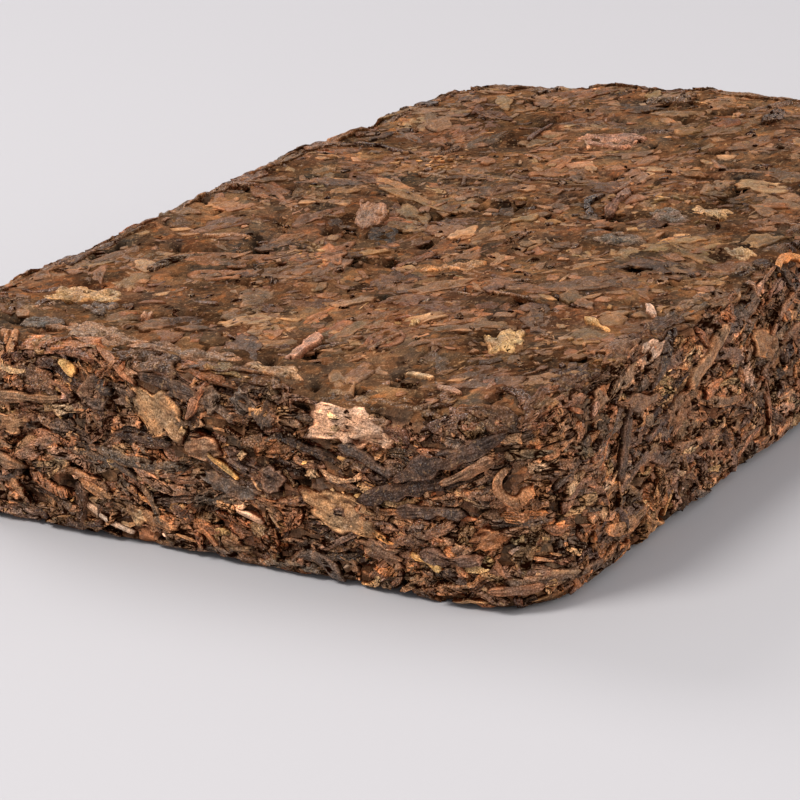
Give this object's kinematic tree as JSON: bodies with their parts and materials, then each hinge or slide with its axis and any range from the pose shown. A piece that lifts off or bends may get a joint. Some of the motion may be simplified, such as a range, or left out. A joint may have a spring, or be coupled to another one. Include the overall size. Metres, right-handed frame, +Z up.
{
  "type": "pressed tea brick",
  "caption": "Flat rectangular slab of compressed dark tea leaves with rounded upright corners, lying on its broad flat underside.",
  "frame": {"origin": "centre of the flat underside, on the surface the brick lies on", "axes": "+X along the long side, +Y across the brick, +Z up through its thickness"},
  "size_m": [0.1436, 0.0962, 0.0264],
  "materials": {
    "pressed_leaf": "matt dry leaf, dark brown with rusty and tan flakes"
  },
  "bodies": {
    "root": {"brick": "pressed_leaf"}
  },
  "joints": []
}
